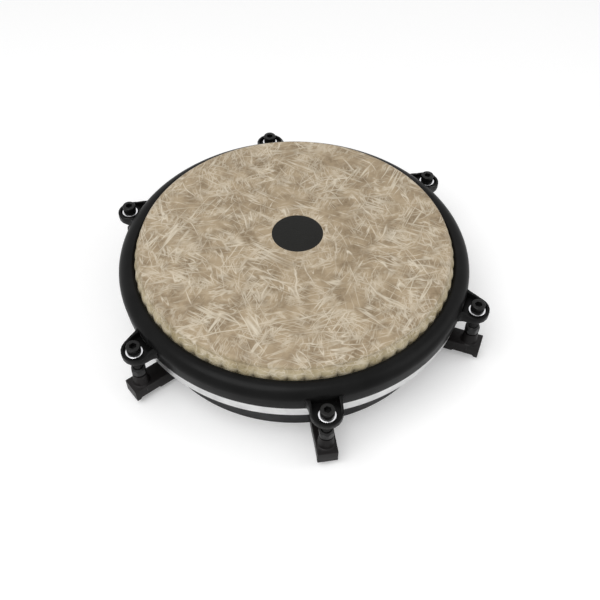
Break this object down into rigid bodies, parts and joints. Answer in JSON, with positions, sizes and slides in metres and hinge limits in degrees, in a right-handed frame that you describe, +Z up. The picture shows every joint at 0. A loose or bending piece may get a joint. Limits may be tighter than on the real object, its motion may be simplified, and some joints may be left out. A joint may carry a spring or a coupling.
{
  "type": "conga",
  "caption": "Shallow travel conga: film head with pleated collar on a low ring, tuned from the top by a rolled crown, ears and socket head bolts.",
  "frame": {"origin": "on the floor, in the middle of the ring's flat lower edge", "axes": "+Z up through the middle of the head; lug 1 points along -Y and the other five follow every 60 degrees, counter-clockwise seen from above"},
  "size_m": [0.3484, 0.392, 0.0917],
  "materials": {
    "film": "fibre-filled film, low gloss",
    "crown": "satin black powder coat",
    "ear": "satin black powder coat",
    "ring": "black, low gloss",
    "block": "satin black powder coat",
    "bolt": "black oxide steel",
    "nut": "black oxide steel",
    "washer": "bright plated",
    "hoop": "satin mill finish",
    "screw": "plated steel"
  },
  "bodies": {
    "shell": {"shell_ring": "ring", "drumhead_film": "film", "drumhead_collar": "film", "lug_block_1": "block", "lug_block_2": "block", "lug_block_3": "block", "lug_block_4": "block", "lug_block_5": "block", "lug_block_6": "block", "lug_screw_1": "screw", "lug_screw_2": "screw", "lug_screw_3": "screw", "lug_screw_4": "screw", "lug_screw_5": "screw", "lug_screw_6": "screw", "tuning_nut_1": "nut", "tuning_nut_2": "nut", "tuning_nut_3": "nut", "tuning_nut_4": "nut", "tuning_nut_5": "nut", "tuning_nut_6": "nut"},
    "crown": {"crown_hoop": "crown", "flesh_hoop": "hoop", "ear_1": "ear", "ear_2": "ear", "ear_3": "ear", "ear_4": "ear", "ear_5": "ear", "ear_6": "ear", "washer_1": "washer", "washer_2": "washer", "washer_3": "washer", "washer_4": "washer", "washer_5": "washer", "washer_6": "washer"},
    "bolt_1": {"tuning_bolt_1": "bolt"},
    "bolt_2": {"tuning_bolt_2": "bolt"},
    "bolt_3": {"tuning_bolt_3": "bolt"},
    "bolt_4": {"tuning_bolt_4": "bolt"},
    "bolt_5": {"tuning_bolt_5": "bolt"},
    "bolt_6": {"tuning_bolt_6": "bolt"}
  },
  "joints": [
    {"name": "crown_tuning", "type": "slide", "parent": "shell", "child": "crown", "axis": [0, 0, -1], "range_m": [-0.006, 0.004], "deforming": ["drumhead_collar"]},
    {"name": "bolt_1_turn", "type": "hinge", "parent": "crown", "child": "bolt_1", "pos_m": [0, -0.184, 0.0655], "axis": [0, 0, -1], "range_deg": [-1730, 1155]},
    {"name": "bolt_2_turn", "type": "hinge", "parent": "crown", "child": "bolt_2", "pos_m": [0.15935, -0.092, 0.0655], "axis": [0, 0, -1], "range_deg": [-1730, 1155]},
    {"name": "bolt_3_turn", "type": "hinge", "parent": "crown", "child": "bolt_3", "pos_m": [0.15935, 0.092, 0.0655], "axis": [0, 0, -1], "range_deg": [-1730, 1155]},
    {"name": "bolt_4_turn", "type": "hinge", "parent": "crown", "child": "bolt_4", "pos_m": [0, 0.184, 0.0655], "axis": [0, 0, -1], "range_deg": [-1730, 1155]},
    {"name": "bolt_5_turn", "type": "hinge", "parent": "crown", "child": "bolt_5", "pos_m": [-0.15935, 0.092, 0.0655], "axis": [0, 0, -1], "range_deg": [-1730, 1155]},
    {"name": "bolt_6_turn", "type": "hinge", "parent": "crown", "child": "bolt_6", "pos_m": [-0.15935, -0.092, 0.0655], "axis": [0, 0, -1], "range_deg": [-1730, 1155]}
  ],
  "couplings": [
    {"joint": "bolt_1_turn", "follows": "crown_tuning", "rad_per_m": 5026.5},
    {"joint": "bolt_2_turn", "follows": "crown_tuning", "rad_per_m": 5026.5},
    {"joint": "bolt_3_turn", "follows": "crown_tuning", "rad_per_m": 5026.5},
    {"joint": "bolt_4_turn", "follows": "crown_tuning", "rad_per_m": 5026.5},
    {"joint": "bolt_5_turn", "follows": "crown_tuning", "rad_per_m": 5026.5},
    {"joint": "bolt_6_turn", "follows": "crown_tuning", "rad_per_m": 5026.5}
  ]
}
